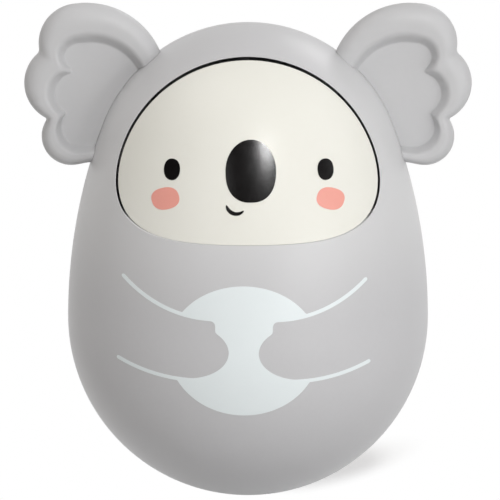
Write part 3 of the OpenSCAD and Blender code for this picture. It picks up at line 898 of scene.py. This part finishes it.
# head up along z from zero, shank and thread below, then turned by the whole set's angle
def screwTree():
    form = screwForm
    tree, wires, size = growTree("screws", ["headWide", "headHigh", "shankWide", "length", "pitch", "turn"])
    headR = size["headWide"] / 2
    coreR = form["core"] * size["shankWide"]
    brimHigh = form["brim"] * size["headHigh"]
    brim = wires.node("GeometryNodeMeshCylinder", {"fill_type": "NGON"}, {
        "Vertices": form["headSides"], "Radius": headR, "Depth": brimHigh,
    })
    domeScale = wires.node("ShaderNodeCombineXYZ", None, {
        "X": 1.0, "Y": 1.0, "Z": (1 - form["brim"]) * size["headHigh"] / headR,
    })
    dome = wires.node("GeometryNodeMeshUVSphere", None, {
        "Segments": form["headSides"], "Rings": form["headRings"], "Radius": headR,
    })
    head = wires.node("GeometryNodeMeshBoolean", {"operation": "UNION"}, {"Mesh 2": [
        moved(wires, brim, form["brim"] / 2 * size["headHigh"]), moved(wires, dome, brimHigh, domeScale),
    ]})
    slots = []
    slotShares = (form["slotLong"], form["slotWide"])
    for along, across in (slotShares, slotShares[::-1]):
        slotSize = wires.node("ShaderNodeCombineXYZ", None, {
            "X": along * size["headWide"], "Y": across * size["headWide"], "Z": size["headHigh"],
        })
        slot = wires.node("GeometryNodeMeshCube", None, {"Size": slotSize})
        slots.append(moved(wires, slot, size["headHigh"]))
    head = wires.node("GeometryNodeMeshBoolean", {"operation": "DIFFERENCE"}, {
        "Mesh 1": head, "Mesh 2": slots,
    })
    shank = wires.node("GeometryNodeMeshCylinder", {"fill_type": "NGON"}, {
        "Vertices": form["shankSides"], "Radius": coreR, "Depth": form["shank"] * size["length"],
    })
    tip = wires.node("GeometryNodeMeshCone", {"fill_type": "NGON"}, {
        "Vertices": form["shankSides"], "Radius Top": coreR, "Radius Bottom": form["point"] * coreR,
        "Depth": (1 - form["shank"]) * size["length"],
    })
    threadHigh = form["thread"] * size["length"]
    spiral = wires.node("GeometryNodeCurveSpiral", None, {
        "Resolution": form["threadSteps"], "Rotations": threadHigh / size["pitch"], "Start Radius": coreR,
        "End Radius": coreR, "Height": threadHigh,
    })
    ridge = wires.node("GeometryNodeCurvePrimitiveCircle", None, {
        "Resolution": form["ridgeSides"], "Radius": form["ridge"] * size["shankWide"],
    })
    thread = wires.node("GeometryNodeCurveToMesh", None, {
        "Curve": spiral, "Profile Curve": ridge, "Fill Caps": True,
    })
    screw = wires.node("GeometryNodeJoinGeometry", None, {"Geometry": [
        head,
        moved(wires, shank, -form["shank"] / 2 * size["length"]),
        moved(wires, tip, -1 * size["length"]),
        moved(wires, thread, -form["threadFoot"] * size["length"]),
    ]})
    turn = wires.node("ShaderNodeCombineXYZ", None, {"X": size["turn"]})
    row = wires.node("GeometryNodeInstanceOnPoints", None, {
        "Points": size["Geometry"], "Instance": screw, "Rotation": turn,
    })
    endTree(wires, row, size)
    return tree


rodSides = 48


# rods stand in a ring, each longer than the one before, with a small bevel on top
def rodTree():
    tree, wires, size = growTree("rods", ["wide", "shortest", "step", "bevel"])
    length = size["shortest"] + size["step"] * wires.node("GeometryNodeInputIndex")
    body = wires.node("GeometryNodeMeshCylinder", {"fill_type": "NGON"}, {
        "Vertices": rodSides, "Radius": size["wide"] / 2, "Depth": 1.0,
    })
    stretch = wires.node("ShaderNodeCombineXYZ", None, {"X": 1.0, "Y": 1.0, "Z": length - size["bevel"]})
    rods = wires.node("GeometryNodeInstanceOnPoints", None, {
        "Points": size["Geometry"], "Instance": moved(wires, body, 0.5), "Scale": stretch,
    })
    tops = wires.node("GeometryNodeMeshCone", {"fill_type": "NGON"}, {
        "Vertices": rodSides, "Radius Bottom": size["wide"] / 2,
        "Radius Top": size["wide"] / 2 - size["bevel"], "Depth": size["bevel"],
    })
    lift = wires.node("ShaderNodeCombineXYZ", None, {"Z": length - size["bevel"]})
    raised = wires.node("GeometryNodeSetPosition", None, {"Geometry": size["Geometry"], "Offset": lift})
    caps = wires.node("GeometryNodeInstanceOnPoints", None, {"Points": raised, "Instance": tops})
    endTree(wires, wires.node("GeometryNodeJoinGeometry", None, {"Geometry": [rods, caps]}), size)
    return tree


def grow(name, tree, points, sizes, slot, *nodes):
    piece = newObject(name, meshFrom(name, points, []))
    step = piece.modifiers.new("grow", "NODES")
    step.node_group = tree
    values = {"Material": materials[slot], **sizes}
    for item in tree.interface.items_tree:
        if item.in_out == "INPUT" and item.name in values:
            step[item.identifier] = values[item.name]
    done = applied(piece)
    piece.modifiers.remove(step)
    piece.data = finishMesh(done, hardCorner["screw"])
    seat(piece, "toy", slot, *nodes)


smallScrew = {"headWide": 3.8, "headHigh": 1.4, "shankWide": 2.0, "length": 8.4, "pitch": 0.8}
faceScrews = {
    **smallScrew, "seatY": -15.4, "turn": -90.0,
    "places": [(26.198, 89.832), (-26.198, 89.832), (12.258, 107.357), (-12.258, 107.357)],
}
bracketScrews = {**smallScrew, "places": [(9.0, 75.232), (-9.0, 75.232)], "seatY": 32.62, "turn": 90.0}
chimeRods = {
    "ringR": 19.0, "count": 8, "start": 22.5, "foot": 9.257,
    "wide": 3.0, "shortest": 32.0, "step": 1.2, "bevel": 0.35,
}


def makeScrews():
    tree = screwTree()
    sets = (("shellScrews", shellScrews, "shell_screws"), ("faceScrews", faceScrews, "face_screws"),
            ("bracketScrews", bracketScrews, "bracket_screws"))
    for name, screw, node in sets:
        points = [(x, screw["seatY"], z) for x, z in screw["places"]]
        sizes = {key: screw[key] * mm for key in ("headWide", "headHigh", "shankWide", "length", "pitch")}
        grow(name, tree, points, {**sizes, "turn": math.radians(screw["turn"])}, "screw_steel", node)


def makeRods():
    points = []
    ringR = chimeRods["ringR"]
    for i in range(chimeRods["count"]):
        a = math.radians(chimeRods["start"] + 360 * i / chimeRods["count"])
        points.append((ringR * math.cos(a), ringR * math.sin(a), chimeRods["foot"]))
    sizes = {key: chimeRods[key] * mm for key in ("wide", "shortest", "step", "bevel")}
    nodes = ["chime_rod_{}".format(i + 1) for i in range(chimeRods["count"])]
    grow("chimeRods", rodTree(), points, sizes, "rod_steel", *nodes)


makeScrews()
makeRods()
print("screws and rods made")


# the pieces inside keep their CAD shape and get their finish
insideSlots = {part["node"]: part["material_slot"] for part in frame["record"]["subparts"]}
for node, piece in frame["nodes"].items():
    if not piece.hide_render:
        piece.data.materials.clear()
        piece.data.materials.append(materials[insideSlots[node]])


# stage: a pale floor that runs out to white, with painted white hiding its shadow outside one patch, soft
# lamps and the camera
stage = {
    "floorSize": 4.0, "floorColour": (0.80, 0.80, 0.80), "bounce": (0.65, 0.65, 0.65), "lift": 0.34,
    # shadowPlace to farWhite: the patch where the floor's painted white leaves the object's shadow showing
    "shadowPlace": (0.0254, 0.0382, 0.0), "shadowTurn": -22.0, "shadowLong": 3.3,
    "nearWhite": 0.003, "farWhite": 0.015,
    "ambient": 0.34, "warmth": (1.0, 0.985, 0.975), "leftWarmth": (0.90, 0.80, 0.70), "warmEnd": 0.45,
    "frontGlow": 0.02, "glowLow": 0.2, "glowHigh": 0.7,
}
pureWhite = (1, 1, 1, 1)


def rayKinds(wires):  # camera rays, reflected rays and rays that went through something clear
    kinds = ("Camera", "Glossy", "Transmission")
    return [wires.node("ShaderNodeLightPath", out="Is {} Ray".format(kind)) for kind in kinds]


def makeFloor():
    half = stage["floorSize"] / 2
    corners = [(-half, -half, 0), (half, -half, 0), (half, half, 0), (-half, half, 0)]
    mesh = bpy.data.meshes.new("floor")
    mesh.from_pydata(corners, [], [(0, 1, 2, 3)])
    material, wires = newMaterial("floorPaper")
    place = wires.node("ShaderNodeTexCoord", out="Object")
    # painted light: the floor glows white by its distance from a stretched patch to the right of the toy,
    # hiding the object's shadow everywhere else
    patch = wires.node("ShaderNodeMapping", {"vector_type": "TEXTURE"}, {
        "Vector": place, "Location": stage["shadowPlace"], "Scale": (1, stage["shadowLong"], 1),
        "Rotation": (0, 0, math.radians(stage["shadowTurn"])),
    })
    apart = wires.node("ShaderNodeVectorMath", {"operation": "LENGTH"}, {0: patch}, "Value")
    paintedWhiteFade = wires.node("ShaderNodeMapRange", {"interpolation_type": "SMOOTHSTEP"}, {
        "Value": apart, "From Min": stage["nearWhite"], "From Max": stage["farWhite"],
    })
    seen, glossy, through = rayKinds(wires)
    plain = wires.node("ShaderNodeBsdfDiffuse", None, {"Color": (*stage["floorColour"], 1)})
    bounce = wires.node("ShaderNodeBsdfDiffuse", None, {"Color": (*stage["bounce"], 1)})
    glow = wires.node("ShaderNodeEmission", None, {"Color": pureWhite, "Strength": stage["lift"]})
    lifted = wires.node("ShaderNodeAddShader", None, {0: plain, 1: glow})
    white = wires.node("ShaderNodeEmission", None, {"Color": pureWhite, "Strength": 1.0})
    shown = wires.node("ShaderNodeMixShader", None, {0: paintedWhiteFade, 1: lifted, 2: white})
    anySight = wires.sum("MAXIMUM", seen, wires.sum("MAXIMUM", glossy, through))
    both = wires.node("ShaderNodeMixShader", None, {0: anySight, 1: bounce, 2: shown})
    wires.node("ShaderNodeOutputMaterial", None, {"Surface": both})
    newObject("floor", mesh, material)


def makeWorld():
    world = bpy.data.worlds.new("studio")
    world.use_nodes = True
    scene.world = world
    wires = emptyTree(world.node_tree)
    seen, glossy, through = rayKinds(wires)
    way = wires.node("ShaderNodeTexCoord", out="Generated")
    depth = wires.node("ShaderNodeSeparateXYZ", None, {0: way}, "Y")
    across = wires.node("ShaderNodeSeparateXYZ", None, {0: way}, "X")
    tint = wires.node("ShaderNodeValToRGB", {
        "stops": [(0.0, stage["leftWarmth"]), (stage["warmEnd"], stage["warmth"])],
    }, {0: (across + 1) / 2}, "Color")
    behind = wires.node("ShaderNodeMapRange", {"interpolation_type": "SMOOTHSTEP"}, {
        "Value": depth, "From Min": stage["glowLow"], "From Max": stage["glowHigh"],
        "To Min": stage["frontGlow"], "To Max": 1.0,
    })
    mirror = wires.node("ShaderNodeBackground", None, {"Color": pureWhite, "Strength": behind})
    soft = wires.node("ShaderNodeBackground", None, {"Color": tint, "Strength": stage["ambient"]})
    white = wires.node("ShaderNodeBackground", None, {"Color": pureWhite, "Strength": 1.0})
    lit = wires.node("ShaderNodeMixShader", None, {0: glossy, 1: soft, 2: mirror})
    direct = wires.sum("MAXIMUM", seen, through)
    both = wires.node("ShaderNodeMixShader", None, {0: direct, 1: lit, 2: white})
    wires.node("ShaderNodeOutputWorld", None, {"Surface": both})


lamps = {  # azimuth to the right of the camera, elevation, distance, width, height, power
    "key": (16.0, 34.0, 0.85, 0.10, 0.10, 2.04),
    "low": (44.0, 7.0, 0.85, 0.48, 0.30, 1.45),
    "patch": (28.0, 2.0, 0.85, 0.12, 0.10, 0.36),
    "right": (82.0, 34.0, 0.85, 0.40, 0.50, 0.7),
    "back": (150.0, 38.0, 0.85, 0.30, 0.22, 0.6),
    "left": (-26.0, 18.0, 0.85, 0.30, 0.30, 0.40),
    "topLeft": (-80.0, 66.0, 0.40, 0.22, 0.22, 0.28),
}
aim = Vector((0.0, 0.0, 0.064))


def sphereWay(azimuth, elevation):
    a, e = math.radians(azimuth), math.radians(elevation)
    return Vector((math.sin(a) * math.cos(e), -math.cos(a) * math.cos(e), math.sin(e)))


def makeLamps():
    for name, (azimuth, elevation, away, wide, high, power) in lamps.items():
        light = bpy.data.lights.new(name, "AREA")
        light.shape = "RECTANGLE"
        light.size = wide
        light.size_y = high
        light.energy = power
        lamp = bpy.data.objects.new(name, light)
        scene.collection.objects.link(lamp)
        way = sphereWay(azimuth, elevation)
        lamp.location = aim + away * way
        lamp.rotation_euler = way.to_track_quat("Z", "Y").to_euler()
        lamp.visible_camera = False


view = {
    "elevation": 10.0, "away": 6.0, "target": (0.52, 0.0, 63.75), "frameWide": 130.0, "sensor": 36.0,
    "clip": (0.05, 20.0),
}


def makeCamera():
    camera = bpy.data.cameras.new("camera")
    camera.sensor_width = view["sensor"]
    camera.lens = view["sensor"] * view["away"] / (view["frameWide"] * mm)
    made = bpy.data.objects.new("camera", camera)
    scene.collection.objects.link(made)
    way = sphereWay(0.0, view["elevation"])
    made.location = Vector(view["target"]) * mm + view["away"] * way
    made.rotation_euler = way.to_track_quat("Z", "Y").to_euler()
    camera.clip_start, camera.clip_end = view["clip"]
    scene.camera = made


makeFloor()
makeWorld()
makeLamps()
makeCamera()
print("stage made")
